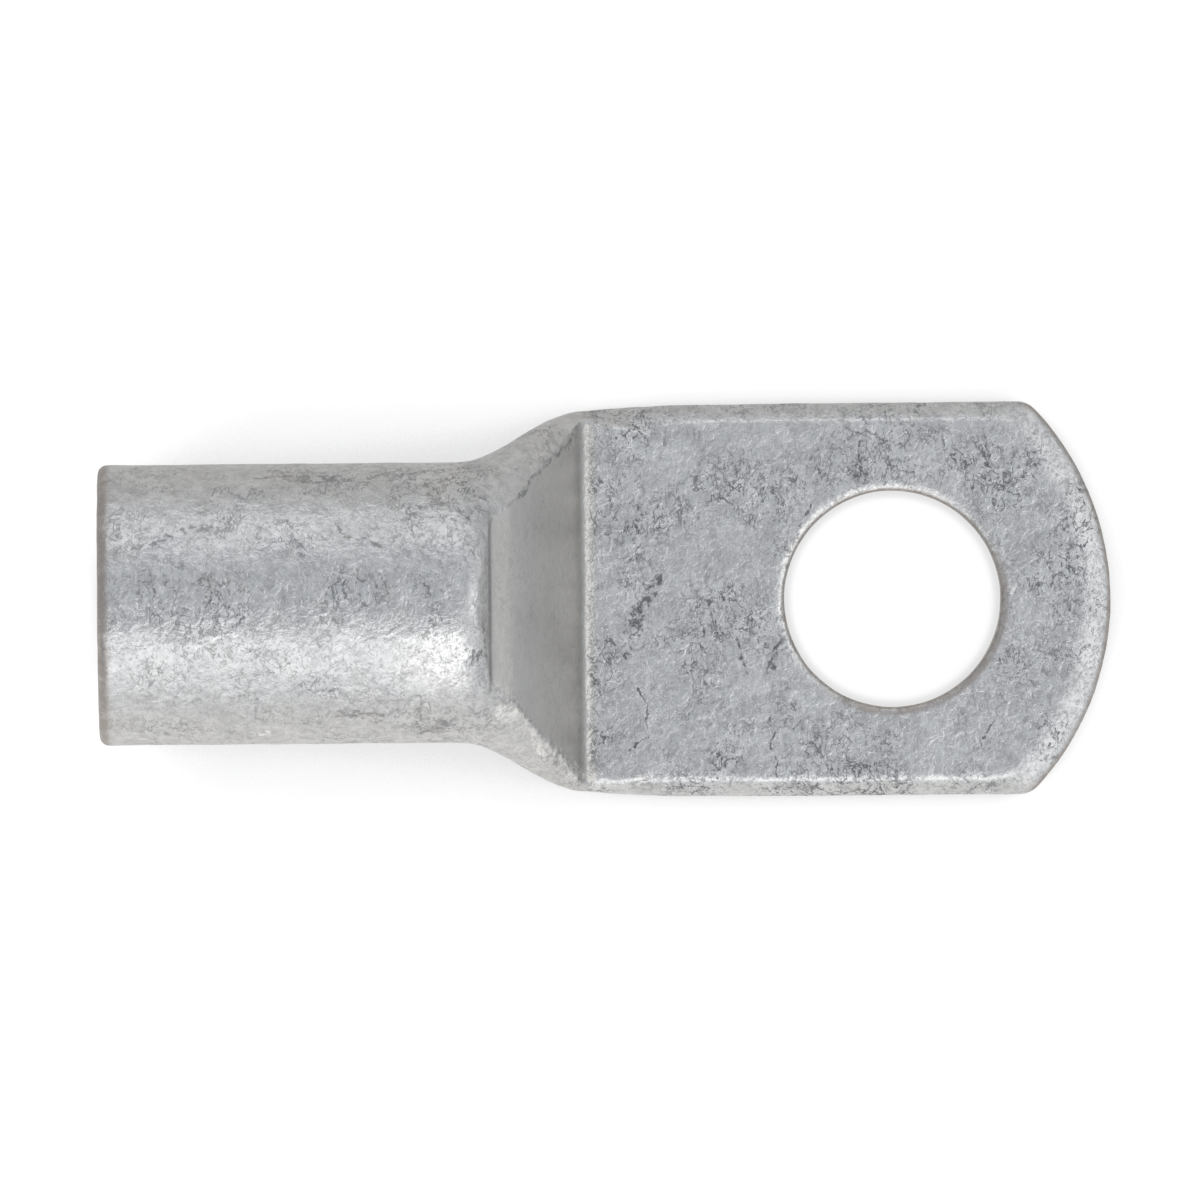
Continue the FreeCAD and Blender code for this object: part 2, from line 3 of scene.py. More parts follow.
import bpy
import numpy as np
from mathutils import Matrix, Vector


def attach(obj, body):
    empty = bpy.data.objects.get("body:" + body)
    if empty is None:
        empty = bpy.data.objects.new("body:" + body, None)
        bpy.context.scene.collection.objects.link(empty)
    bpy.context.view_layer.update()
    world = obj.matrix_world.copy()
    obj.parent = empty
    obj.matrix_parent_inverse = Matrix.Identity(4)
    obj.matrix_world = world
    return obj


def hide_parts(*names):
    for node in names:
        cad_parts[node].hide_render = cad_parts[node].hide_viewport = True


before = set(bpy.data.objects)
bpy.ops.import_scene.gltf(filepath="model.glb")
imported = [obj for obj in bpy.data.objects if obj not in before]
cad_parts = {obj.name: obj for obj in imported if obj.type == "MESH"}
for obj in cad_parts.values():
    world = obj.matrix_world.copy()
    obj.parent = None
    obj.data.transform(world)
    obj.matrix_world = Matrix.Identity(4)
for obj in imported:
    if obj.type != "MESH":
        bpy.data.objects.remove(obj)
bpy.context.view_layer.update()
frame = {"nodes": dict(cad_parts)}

mm = 0.001
print("frame loaded:", ", ".join(frame["nodes"]))


# small helpers

def selectOnly(obj):
    bpy.ops.object.select_all(action="DESELECT")
    obj.select_set(True)
    bpy.context.view_layer.objects.active = obj


def selectVertices(obj, wanted):
    # wanted is one True or False for each vertex; the object is left in Edit Mode
    bpy.ops.object.mode_set(mode="EDIT")
    bpy.ops.mesh.select_mode(type="VERT")
    bpy.ops.mesh.select_all(action="DESELECT")
    bpy.ops.object.mode_set(mode="OBJECT")
    obj.data.vertices.foreach_set("select", wanted)
    bpy.ops.object.mode_set(mode="EDIT")


def smoothPlain(obj, wanted, rounds):
    selectVertices(obj, wanted)
    bpy.ops.mesh.vertices_smooth(factor=0.5, repeat=rounds)


def smoothKept(obj, wanted, rounds):
    # out and back, so that nothing shrinks
    selectVertices(obj, wanted)
    for _ in range(rounds):
        bpy.ops.mesh.vertices_smooth(factor=0.5)
        bpy.ops.mesh.vertices_smooth(factor=-0.52)


def vertexVectors(obj, name):
    flat = np.zeros(len(obj.data.vertices) * 3, np.float32)
    obj.data.vertices.foreach_get(name, flat)
    return flat.reshape(-1, 3)


def places(obj):
    # where the vertices are, in mm
    return vertexVectors(obj, "co") / mm


def fade(values, start, end):
    # 0 up to start, 1 from end on
    return np.clip((values - start) / (end - start), 0, 1)


def applyModifier(obj, kind, **settings):
    modifier = obj.modifiers.new(kind.lower(), kind)
    for name, value in settings.items():
        setattr(modifier, name, value)
    bpy.ops.object.modifier_apply(modifier=modifier.name)


# the terminal itself

terminal = {
    "voxel": 0.16 * mm,          # spacing of the worked mesh
    "mergeReach": 0.001 * mm,
    # places on the part in mm: x from the stud hole, y from the middle, z from the underside
    "mouthX": -30.94,
    "shoulderX": -16.64,
    "creaseX": -15.66,
    "kneeX": -14.69,
    "footX": -12.04,
    "tipX": 8.53,
    "tipRadius": 10.85,
    "holeRadius": 4.2,
    "palmTopZ": 2.5,
    # rounds of smoothing, by region
    "barrelSmoothing": 24,
    "flareSmoothing": 8,
    "rimSmoothing": 6,
    "kneeSmoothing": 16,
    "foldSmoothing": 2,
    # how far each region reaches, in mm, if no place is given
    "mouthKept": 0.8,
    "shoulderShare": 0.1,
    "flarePastFoot": 3,
    "mouthRim": 0.9,
    "holeRimWearAndHighlight": 0.4,
    "tipRim": 0.4,
    "tipFromX": 3.5,
    "lowFlankZ": 1.7,
    "kneeHalf": 0.5,
    "foldPastFoot": 1,
    "foldPastBorder": 0.12,
    # how the surface faces there: parts of its normal
    "flareSideways": 0.3,
    "kneeUpward": 0.3,
    "kneeSideways": 0.2,
    # the flat's borders: how far out the die's edge ran on either side, in mm
    "foldBorder": 6.8,
    "borderPlaces": (-13.0, -12.1, -11.5, -10.5, -9.5, -8.6, -7.4, 4.0, 5.0),
    "lowBorder": (0.0, 0.36, 0.52, 0.56, 0.36, 0.25, 0.24, 0.24, 0.0),
    "highBorder": (0.0, 0.20, 0.26, 0.20, 0.02, 0.05, 0.15, 0.15, 0.0),
    "borderBlend": 1.3,          # the surface inside the border that stretches with it
    "rimLeast": 0.3,             # the same outside it, at least
    "stripLength": 0.3,          # the outline is read in strips of this length
    "bendStart": 0.3,            # the flat bends down over this length to its border
    "bendCurve": 2,
    "flatFromX": -11.99,
    "flatToX": -8.8,
    "flatFromZ": 1.8,
    # where the flared sides ease into the palm's: half widths, and how much they count
    "sidePlaces": (-12.0, -10.9, -9.9, -8.5, -6.0),
    "sideWidths": (7.45, 7.55, 7.61, 7.66, 7.68),
    "sideIn": (-12.8, -12.0),
    "sideOut": (-5.0, -6.0),
    # soft unevenness left by drawing and pressing: sizes and depths
    "unevenness": {"waves": (2.6 * mm, 0.03 * mm), "hammer": (0.9 * mm, 0.03 * mm)},
    "cloudDepth": 2,
    # where each kept mask begins and is full
    "wornFade": (0.55, 2.75),    # curvature in 1/mm
    "wornRounds": 3,
    "holeCut": (0.20, 0.05),     # mm outside the hole's radius
    "tipCut": (-0.22, -0.08),    # mm outside the tip's radius
    "tipCutX": 3.9,
    "mouthCut": (0.50, 0.38),    # mm from the mouth
    "pressedFade": (0.25, 0.15), # sideways part of the normal
}


def fromTipCentre(at):
    return np.hypot(at[:, 0] - terminal["tipX"] + terminal["tipRadius"], at[:, 1])


def smoothRegions(skin):
    # take the facets off, region by region, and keep the edges that tools left
    at = places(skin)
    x, y, z = at.T
    normalY, normalZ = vertexVectors(skin, "normal").T[1:]
    onTube = (x > terminal["mouthX"] + terminal["mouthKept"]) & (
        x < terminal["shoulderX"] + terminal["shoulderShare"])
    smoothPlain(skin, onTube, terminal["barrelSmoothing"])
    flare = (x > terminal["shoulderX"]) & (x < terminal["footX"] + terminal["flarePastFoot"])
    smoothKept(skin, flare & (np.abs(normalY) > terminal["flareSideways"]), terminal["flareSmoothing"])
    rims = np.hypot(x, y) < terminal["holeRadius"] + terminal["holeRimWearAndHighlight"]
    rims |= x < terminal["mouthX"] + terminal["mouthRim"]
    rims |= (fromTipCentre(at) > terminal["tipRadius"] - terminal["tipRim"]) & (x > terminal["tipFromX"])
    rims |= (z < terminal["lowFlankZ"]) & (x > terminal["shoulderX"])
    smoothKept(skin, rims, terminal["rimSmoothing"])
    knee = (np.abs(x - terminal["kneeX"]) < terminal["kneeHalf"]) & (normalZ > terminal["kneeUpward"])
    knee &= np.abs(normalY) < terminal["kneeSideways"]
    smoothPlain(skin, knee, terminal["kneeSmoothing"])
    fold = (x > terminal["footX"] + terminal["foldPastFoot"]) & (
        np.abs(y) > terminal["foldBorder"] + terminal["foldPastBorder"])
    smoothPlain(skin, fold, terminal["foldSmoothing"])
    bpy.ops.object.mode_set(mode="OBJECT")


def moveBorders(skin):
    # move the flat's borders to where the die left them, not quite even on both sides
    at = places(skin)
    x, y, z = at.T
    wide = np.abs(y)
    border, length = terminal["foldBorder"], terminal["stripLength"]
    strip = ((x - terminal["mouthX"]) / length).astype(int)
    widest = np.zeros(strip.max() + 1)
    np.maximum.at(widest, strip, wide)
    middles = terminal["mouthX"] + length * np.arange(len(widest)) + length / 2
    reach = np.interp(x, middles, widest)
    inner = fade(wide, border - terminal["borderBlend"], border)
    outer = np.clip((reach - wide) / np.maximum(reach - border, terminal["rimLeast"]), 0, 1)
    shift = np.where(y < 0, np.interp(x, terminal["borderPlaces"], terminal["lowBorder"]),
                     np.interp(x, terminal["borderPlaces"], terminal["highBorder"]))
    y += np.sign(y) * shift * np.minimum(inner, outer)

    # fill the flat up to its new borders beside the foot
    past = np.maximum(np.abs(y) - border - shift + terminal["bendStart"], 0)
    flat = terminal["palmTopZ"] - past - terminal["bendCurve"] * past ** 2
    pressed = (x > terminal["flatFromX"]) & (x < terminal["flatToX"])
    pressed &= (z > terminal["flatFromZ"]) & (inner > 0)
    z[:] = np.where(pressed, np.maximum(z, flat), z)

    # ease the outline from the flare to the palm
    eased = np.interp(x, terminal["sidePlaces"], terminal["sideWidths"]) / reach
    share = fade(x, *terminal["sideIn"]) * fade(x, *terminal["sideOut"]) * inner
    y *= 1 + (eased - 1) * share
    skin.data.vertices.foreach_set("co", (at * mm).ravel())
    skin.data.update()


def buildTerminal():
    node = frame["nodes"]["terminal_body"]
    skin = bpy.data.objects.new("terminalSkin", node.data.copy())
    bpy.context.scene.collection.objects.link(skin)
    skin.data.name = "terminalSkin"
    skin.data.materials.clear()
    selectOnly(skin)
    bpy.ops.object.mode_set(mode="EDIT")
    bpy.ops.mesh.select_all(action="SELECT")
    bpy.ops.mesh.remove_doubles(threshold=terminal["mergeReach"])
    bpy.ops.object.mode_set(mode="OBJECT")
    applyModifier(skin, "REMESH", mode="VOXEL", voxel_size=terminal["voxel"], use_smooth_shade=True)
    print("worked mesh:", len(skin.data.polygons), "faces")
    smoothRegions(skin)
    moveBorders(skin)

    # soft unevenness, always inward so that the part keeps its size
    for name, (size, depth) in terminal["unevenness"].items():
        cloud = bpy.data.textures.new(name, "CLOUDS")
        cloud.noise_scale = size
        cloud.noise_depth = terminal["cloudDepth"]
        applyModifier(skin, "DISPLACE", texture=cloud, texture_coords="LOCAL",
                      strength=depth, mid_level=1.0)
    return skin


# masks kept as attributes: worn edges, bare cut copper, and what the die pressed

def markEdges(skin):
    mesh = skin.data
    count = len(mesh.vertices)
    at = places(skin)
    normals = vertexVectors(skin, "normal")
    ends = np.zeros(len(mesh.edges) * 2, np.int32)
    mesh.edges.foreach_get("vertices", ends)
    a, b = ends.reshape(-1, 2).T
    degree = np.bincount(a, minlength=count) + np.bincount(b, minlength=count)

    def neighbourMean(values):
        total = np.bincount(a, values[b], count) + np.bincount(b, values[a], count)
        return total / degree

    # how far each vertex stands out from its neighbours, as a curvature: 4 lifts over the spacing squared
    lift = sum((at[:, i] - neighbourMean(at[:, i])) * normals[:, i] for i in range(3))
    convex = lift / (terminal["voxel"] / mm) ** 2 * 4
    for _ in range(terminal["wornRounds"]):
        convex = (convex + neighbourMean(convex)) / 2
    worn = fade(convex, *terminal["wornFade"])

    fromHole = np.hypot(at[:, 0], at[:, 1]) - terminal["holeRadius"]
    fromTip = fromTipCentre(at) - terminal["tipRadius"]
    tipWall = fade(fromTip, *terminal["tipCut"]) * (at[:, 0] > terminal["tipCutX"])
    mouthRing = fade(at[:, 0] - terminal["mouthX"], *terminal["mouthCut"])
    cut = np.maximum(np.maximum(fade(fromHole, *terminal["holeCut"]), tipWall), mouthRing)
    pressed = fade(np.abs(normals[:, 1]), *terminal["pressedFade"]) * (normals[:, 2] > 0)
    for name, values in (("wornEdge", worn), ("cutFace", cut), ("pressedFace", pressed)):
        attribute = mesh.attributes.new(name=name, type="FLOAT", domain="POINT")
        attribute.data.foreach_set("value", values.astype(np.float32))


# node helpers

def addNode(tree, kind, settings=None, inputs=None):
    # an input is either another node's output or a plain value
    node = tree.nodes.new(kind)
    for name, value in (settings or {}).items():
        setattr(node, name, value)
    for name, value in (inputs or {}).items():
        if isinstance(value, bpy.types.NodeSocket):
            tree.links.new(value, node.inputs[name])
        else:
            node.inputs[name].default_value = value
    return node


def calc(tree, operation, *values, clamp=False):
    return addNode(tree, "ShaderNodeMath", {"operation": operation, "use_clamp": clamp},
                   dict(enumerate(values))).outputs[0]


def vectorCalc(tree, operation, *values):
    node = addNode(tree, "ShaderNodeVectorMath", {"operation": operation}, dict(enumerate(values)))
    return node.outputs["Value"] if operation in ("DOT_PRODUCT", "LENGTH") else node.outputs["Vector"]


def scaleVector(tree, vector, scale):
    return addNode(tree, "ShaderNodeVectorMath", {"operation": "SCALE"},
                   {0: vector, "Scale": scale}).outputs[0]


def cloudNoise(tree, vector, scale, detail=2.0, roughness=0.5, distortion=0.0):
    return addNode(tree, "ShaderNodeTexNoise", None, {
        "Vector": vector, "Scale": scale, "Detail": detail, "Roughness": roughness,
        "Distortion": distortion}).outputs[0]


def ramp(tree, value, fromLow, fromHigh, toLow=0.0, toHigh=1.0):
    return addNode(tree, "ShaderNodeMapRange", {"interpolation_type": "SMOOTHSTEP"}, {
        "Value": value, "From Min": fromLow, "From Max": fromHigh,
        "To Min": toLow, "To Max": toHigh}).outputs[0]


def blendColour(tree, factor, first, second):
    # inputs 6 and 7 and output 2 are the Mix node's colours
    return addNode(tree, "ShaderNodeMix", {"data_type": "RGBA"}, {0: factor, 6: first, 7: second}).outputs[2]


def newGroup(name, inputs, outputs):
    tree = bpy.data.node_groups.new(name, "ShaderNodeTree")
    for label, kind in inputs.items():
        tree.interface.new_socket(name=label, in_out="INPUT", socket_type="NodeSocket" + kind)
    for label, kind in outputs.items():
        tree.interface.new_socket(name=label, in_out="OUTPUT", socket_type="NodeSocket" + kind)
    return tree, tree.nodes.new("NodeGroupInput").outputs, tree.nodes.new("NodeGroupOutput").inputs


def useGroup(tree, group, inputs):
    return addNode(tree, "ShaderNodeGroup", {"node_tree": group}, inputs).outputs


# short curled marks: thin level lines of a noise, kept only in patches

squiggle = {
    "stretch": (1.3, 0.85, 1.0),
    "lineNoise": (3.0, 0.62, 0.35),      # detail, roughness, distortion
    "patchOffset": (17.3, 5.1, 9.7),
    "patchScale": 1.2,
    "patchLevel": 0.78,                  # with a cover of 0; half the cover is taken off it
    "patchEdge": 0.04,
}


def buildSquiggles():
    tree, given, out = newGroup("squiggleMarks",
                                {"Vector": "Vector", "Scale": "Float", "Width": "Float", "Cover": "Float"},
                                {"Mask": "Float"})
    drawn = vectorCalc(tree, "MULTIPLY", given["Vector"], squiggle["stretch"])
    level = cloudNoise(tree, drawn, given["Scale"], *squiggle["lineNoise"])
    away = calc(tree, "ABSOLUTE", calc(tree, "SUBTRACT", level, 0.5))
    line = calc(tree, "SUBTRACT", 1.0, ramp(tree, away, 0.0, given["Width"]))
    shifted = vectorCalc(tree, "ADD", given["Vector"], squiggle["patchOffset"])
    patch = cloudNoise(tree, shifted, calc(tree, "MULTIPLY", given["Scale"], squiggle["patchScale"]))
    edge = calc(tree, "SUBTRACT", squiggle["patchLevel"], calc(tree, "MULTIPLY", given["Cover"], 0.5))
    kept = ramp(tree, patch, edge, calc(tree, "ADD", edge, squiggle["patchEdge"]))
    tree.links.new(calc(tree, "MULTIPLY", line, kept), out["Mask"])
    return tree


# pits and specks: the peaks of a bent noise

speck = {
    "noise": (2.0, 0.6, 2.2),            # detail, roughness, distortion
    "edge": 0.07,
}


def buildSpecks():
    tree, given, out = newGroup("speckMarks", {"Vector": "Vector", "Scale": "Float", "Level": "Float"},
                                {"Mask": "Float"})
    height = cloudNoise(tree, given["Vector"], given["Scale"], *speck["noise"])
    full = calc(tree, "ADD", given["Level"], speck["edge"])
    tree.links.new(ramp(tree, height, given["Level"], full), out["Mask"])
    return tree


# one scratch or smear from Start to End, seen from above

strokeCore = 0.1                         # the part of its width that is fully dark


def buildStroke():
    tree, given, out = newGroup("strokeMark",
                                {"Vector": "Vector", "Ragged": "Float", "Start": "Vector", "End": "Vector",
                                 "Width": "Float"},
                                {"Mask": "Float"})
    fromStart = vectorCalc(tree, "SUBTRACT", given["Vector"], given["Start"])
    whole = vectorCalc(tree, "SUBTRACT", given["End"], given["Start"])
    along = calc(tree, "DIVIDE", vectorCalc(tree, "DOT_PRODUCT", fromStart, whole),
                 vectorCalc(tree, "DOT_PRODUCT", whole, whole), clamp=True)
    nearest = scaleVector(tree, whole, along)
    away = vectorCalc(tree, "LENGTH", vectorCalc(tree, "SUBTRACT", fromStart, nearest))
    ragAway = calc(tree, "MULTIPLY_ADD", given["Ragged"], given["Width"], away)
    core = calc(tree, "MULTIPLY", given["Width"], strokeCore)
    inside = calc(tree, "SUBTRACT", 1.0, ramp(tree, ragAway, core, given["Width"]))
    tree.links.new(inside, out["Mask"])
    return tree


# fine mottled grain of hot tin, as a tone and a height

mottle = {
    "noise": (3.0, 0.6, 0.6),            # detail, roughness, distortion
    "broadScale": 0.25,
    "fineWeight": 0.6,
    "broadWeight": 0.4,
}


def buildGrain():
    tree, given, out = newGroup("tinGrain", {"Vector": "Vector", "Scale": "Float"},
                                {"Tone": "Float", "Height": "Float"})
    fine = cloudNoise(tree, given["Vector"], given["Scale"], *mottle["noise"])
    broadScale = calc(tree, "MULTIPLY", given["Scale"], mottle["broadScale"])
    broad = cloudNoise(tree, given["Vector"], broadScale, *mottle["noise"])
    tone = calc(tree, "ADD", calc(tree, "MULTIPLY", fine, mottle["fineWeight"]),
                calc(tree, "MULTIPLY", broad, mottle["broadWeight"]))
    tree.links.new(tone, out["Tone"])
    tree.links.new(fine, out["Height"])
    return tree


# the tin plate: its colours, its marks and how much each of them counts

tin = {
    "colour": (0.55, 0.548, 0.545, 1),
    "lightColour": (0.695, 0.692, 0.685, 1),
    "paleColour": (0.93, 0.92, 0.89, 1),
    "darkColour": (0.105, 0.11, 0.125, 1),
    "brownColour": (0.20, 0.185, 0.165, 1),
    "cutColour": (0.41, 0.375, 0.345, 1),
    "paintedRampShadeColour": (0.535, 0.52, 0.49, 1),
    "grainScale": 3.4,
    "grainLevels": (0.33, 0.67),
    "blotchNoise": (0.8, 4.0, 0.6, 0.8),     # scale in 1/mm, detail, roughness, distortion
    "blotchWeight": 1.8,
    "rampBare": 0.7,                         # share of the marks that the die ironed out of the ramp
    "paintedRampShadeBeside": 0.3,                     # share of the painted ramp shade on faces that turn sideways
    # how the painted ramp shade weakens where the grain is light
    "paintedRampShadeLevels": (0.35, 0.65, 1.0, 0.75),
    # how strongly the painted highlight on the ramp's upper facet shows
    "facetHighlight": 0.27,
    # how strongly each mark shows
    "fineDark": 0.75,
    "tinyDark": 0.5,
    "curlsDark": 0.9,
    "hairsDark": 0.7,
    "grimeDark": 0.15,
    "creaseDark": 0.5,
    "wornPale": 0.75,
    "glintsPale": 0.24,
    "rimsPale": 0.85,
    "tipRimShare": 0.45,
    # pale scrapes, and painted highlights on the lower diagonal beside the ramp
    "scrapesAndHighlightsPale": 0.85,
    "barrelEndHighlightPale": (0.6, 0.15),               # painted highlight on the barrel's end: what the flecks add, and what shows without them
    "farRingShare": 0.9,
    # shares on the barrel and on the palm
    "crowdShare": (0.62, 1.0),
    "speckShare": (0.45, 1.0),
    "placedShare": (0.55, 0.85),
    "lumpShare": (2.2, 1.3),
    "crowdMore": 0.4,                        # added where the barrel carries most marks; along its top the extra marks are also painted shade for its darker band
    # the wavering, ragged path of the placed marks
    "waverNoise": {"Scale": 1.4, "Detail": 3.0, "Roughness": 0.6},
    "waverReach": 0.9,
    "raggedNoise": (5.0, 4.0, 0.7),
    "raggedSpread": (4.4, -2.3),             # the noise times the first, plus the second
    # the painted shade line along the crease: its x, half width and half length, each with its fade
    "creaseLineX": -15.69,
    "creaseHalfWidth": (0.02, 0.09),
    "creaseHalfLength": (3.3, 3.8),
    "grimeFade": (-3.6, -2.2),
    # the burnished rims of hole and tip, and a painted highlight on the hole's upper left; a bearing is 1 at
    # the hole's upper left and -1 at its lower right
    "bearing": (-0.66, 0.75),
    "holeRimReach": (4.35, 4.8),
    "holeRimLevels": (-0.25, 0.75, 0.12, 1.0),
    "tipRimReach": (-1.4, -0.6),
    "tipRimX": (3.5, 5.5),
    "farRingReach": (4.46, 4.62),
    "farRingLevels": (0.1, -0.6),
    "roughness": 0.34,
    "darkRougher": 0.3,
    "copperRougher": 0.12,
    "barrelEndSmoother": 0.08,
    "rimRougher": 0.13,
    "lumpNoise": (1.5, 3.0, 0.6, 0.8),
    "pitDepth": 0.3,
    "bumpStrength": 0.7,
    "bumpDepth": 0.05 * mm,
}

# small marks: offset into the noise, inputs of their group
smallMarks = {
    "fine": (None, {"Scale": 3.5, "Level": 0.6}),
    "tiny": ((3.0, 30.0, 6.0), {"Scale": 6.5, "Level": 0.61}),
    "curls": ((40.0, 3.0, 8.0), {"Scale": 1.25, "Width": 0.042, "Cover": 0.66}),
    "hairs": ((11.0, 23.0, 5.0), {"Scale": 2.4, "Width": 0.055, "Cover": 0.62}),
    "glints": ((3.0, 50.0, 2.0), {"Scale": 2.6, "Width": 0.04, "Cover": 0.52}),
}

# broken patches: offset into the noise, the noise (scale, detail, roughness, distortion), its levels
patches = {
    "crowding": ((9.0, 1.0, 4.0), (0.42, 3.0, 0.6), (0.38, 0.64, 0.28, 1.0)),
    "brokenUp": ((1.0, 7.0, 2.0), (2.0, 4.0, 0.65), (0.36, 0.6)),
    "gaps": ((5.0, 5.0, 5.0), (3.4, 3.0, 0.6), (0.36, 0.5, 0.15, 1.0)),
    "flecks": ((6.0, 2.0, 8.0), (4.5, 3.0, 0.65, 0.8), (0.4, 0.6)),
    "browning": (None, (0.7, 2.0), (0.4, 0.6)),
    "tarnish": (None, (3.1, 4.0, 0.7), (0.25, 0.6, 0.55, 1.0)),
}

# bands along x, or along y where the name says so, in mm: each rises over its first two places and falls
# over its last two
bands = {
    "ramp": (terminal["creaseX"] - 0.05, terminal["creaseX"] + 0.08,
             terminal["footX"] - 0.1, terminal["footX"] + 0.35),
    # painted shade on the ramp, darker towards its foot
    "paintedRampShade": (-15.4, -12.7, -11.75, -11.4),
    # painted highlight on the ramp's upper facet
    "upperFacetHighlight": (-15.7, -15.5, -15.0, -14.2),
    # the barrel's top, where extra dark marks are also painted shade
    "barrelTopY": (-1.3, -0.6, 0.8, 1.7),
    "beforeShoulder": (-19.5, -17.0, -15.9, -15.6),
    "lowBand": (-23.5, -21.5, -16.6, -15.9),
    "lowBandY": (-4.7, -4.0, -3.6, -3.0),
    "grime": (-16.95, -16.5, -15.85, -15.6),
    # painted highlight near the barrel's end, over its highlight band
    "barrelEndHighlight": (-20.5, -17.3, -16.7, -16.35),
    "barrelEndHighlightY": (-3.9, -2.9, -1.5, -0.7),
}
# where the palm begins, and the height from which a face counts as the part's top
palmFade = (terminal["footX"] - 0.2, terminal["footX"] + 0.5)
topFade = (terminal["palmTopZ"] - 0.9, terminal["palmTopZ"] - 0.5)

# marks given one by one: start, end and half width in mm. With more of them than these 33, or with one of
# them in the bump, the renderer's shader stack overflows and the part turns black
darkStrokes = [
    ((-9.07, 1.0), (-9.6, 0.15), 0.27), ((-9.95, -0.36), (-10.15, -1.3), 0.32),
    ((-10.25, -1.4), (-10.55, -2.25), 0.13), ((-9.8, -3.5), (-9.6, -4.9), 0.06),
    ((-9.6, -5.3), (-10.25, -5.95), 0.05), ((-4.9, -4.55), (-4.5, -6.85), 0.06),
    ((-4.4, -1.4), (-4.85, -2.8), 0.16), ((-6.0, -1.65), (-5.75, -2.7), 0.08),
    ((3.5, 5.7), (3.85, 4.9), 0.09), ((6.15, 2.35), (6.5, 1.95), 0.09),
    ((4.1, -4.5), (3.35, -5.65), 0.04), ((-1.3, 6.1), (-1.05, 4.5), 0.07),
    ((-1.6, 5.4), (-1.4, 4.7), 0.2), ((-3.1, 3.6), (-3.75, 2.5), 0.07),
    ((-29.5, 2.2), (-28.0, 2.6), 0.10), ((-27.6, 2.95), (-26.6, 2.9), 0.15),
    ((-24.9, 4.9), (-20.4, 4.75), 0.09), ((-20.4, 4.9), (-18.0, 5.1), 0.08),
    ((-17.8, 4.1), (-16.6, 3.4), 0.14), ((-23.4, 3.2), (-22.9, 1.8), 0.10),
    ((-21.6, 2.8), (-19.8, 2.2), 0.09), ((-18.4, -4.0), (-18.6, -4.9), 0.16),
    ((-18.4, -5.1), (-17.2, -4.7), 0.14), ((-21.4, -4.3), (-19.9, -4.4), 0.2),
    # painted shade: a dark line along the ramp's upper edge
    ((-14.75, 3.95), (-12.35, 6.5), 0.075),
]
# the two wide strokes on the lower diagonal beside the ramp are painted highlights; the others are pale
# scrapes
paleStrokes = [
    ((-27.2, -1.75), (-25.6, -1.1), 0.10), ((-18.9, -0.95), (-19.9, -1.3), 0.06),
    ((-17.9, -3.4), (-17.5, -2.7), 0.10), ((-24.6, -5.0), (-24.3, -5.05), 0.07),
    ((4.9, 0.9), (4.8, 0.1), 0.12), ((-15.2, -4.1), (-14.1, -5.1), 0.3),
    ((-13.7, -5.6), (-12.3, -6.9), 0.3), ((-11.7, -7.3), (-9.2, -7.1), 0.07),
]


def strokes(tree, group, point, ragged, marks):
    mask = None
    for start, end, width in marks:
        one = useGroup(tree, group, {"Vector": point, "Ragged": ragged, "Start": (*start, 0.0),
                                     "End": (*end, 0.0), "Width": width})["Mask"]
        mask = one if mask is None else calc(tree, "MAXIMUM", mask, one)
    return mask


